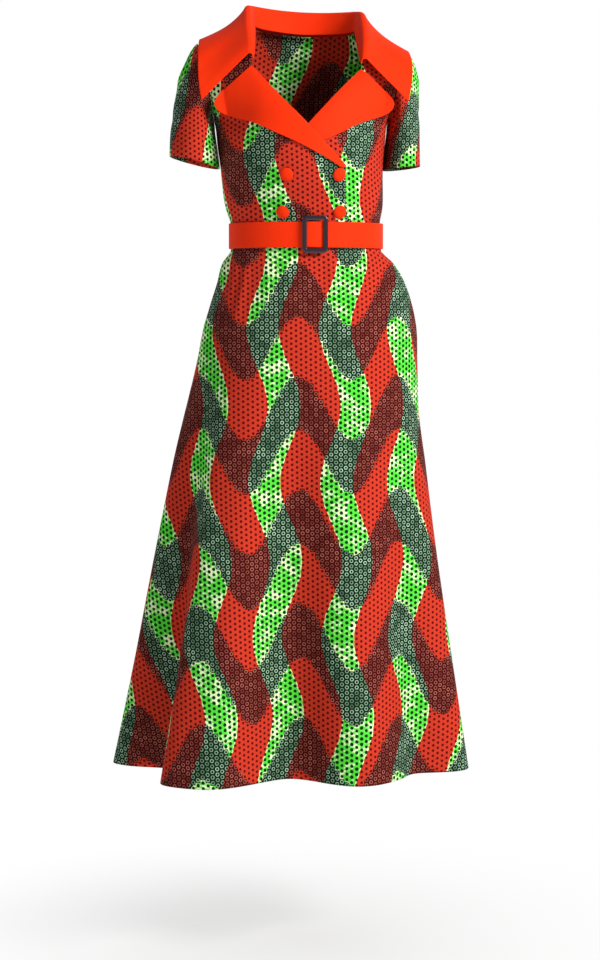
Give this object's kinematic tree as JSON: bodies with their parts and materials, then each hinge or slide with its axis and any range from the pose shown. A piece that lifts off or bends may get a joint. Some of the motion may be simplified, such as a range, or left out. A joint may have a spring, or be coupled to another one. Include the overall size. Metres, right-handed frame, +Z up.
{
  "type": "maxi dress",
  "caption": "Short-sleeved double-breasted maxi dress in a wax-print cotton, with a wide plain collar, lapels, belt and flared skirt, in its worn form.",
  "frame": {"origin": "midway between the two points where the neckline meets the shoulder seams, where the wearer's shoulders hold the dress up", "axes": "+Z up, -Y the way the front faces, +X towards the wearer's left"},
  "size_m": [0.5821, 0.498, 1.2341],
  "materials": {
    "print_cotton": "printed plain-weave cotton, soft matt",
    "plain_cotton": "dyed plain-weave cotton, soft sheen",
    "dark_plastic": "polished"
  },
  "bodies": {
    "root": {"bodice_front_right": "print_cotton", "bodice_front_left": "print_cotton", "bodice_back": "print_cotton", "sleeve_right": "print_cotton", "sleeve_left": "print_cotton", "skirt_front": "print_cotton", "skirt_back": "print_cotton", "collar": "plain_cotton", "lapel_right": "plain_cotton", "lapel_left": "plain_cotton", "belt": "plain_cotton", "buckle": "dark_plastic", "button_upper_right": "plain_cotton", "button_upper_left": "plain_cotton", "button_lower_right": "plain_cotton", "button_lower_left": "plain_cotton"}
  },
  "joints": []
}
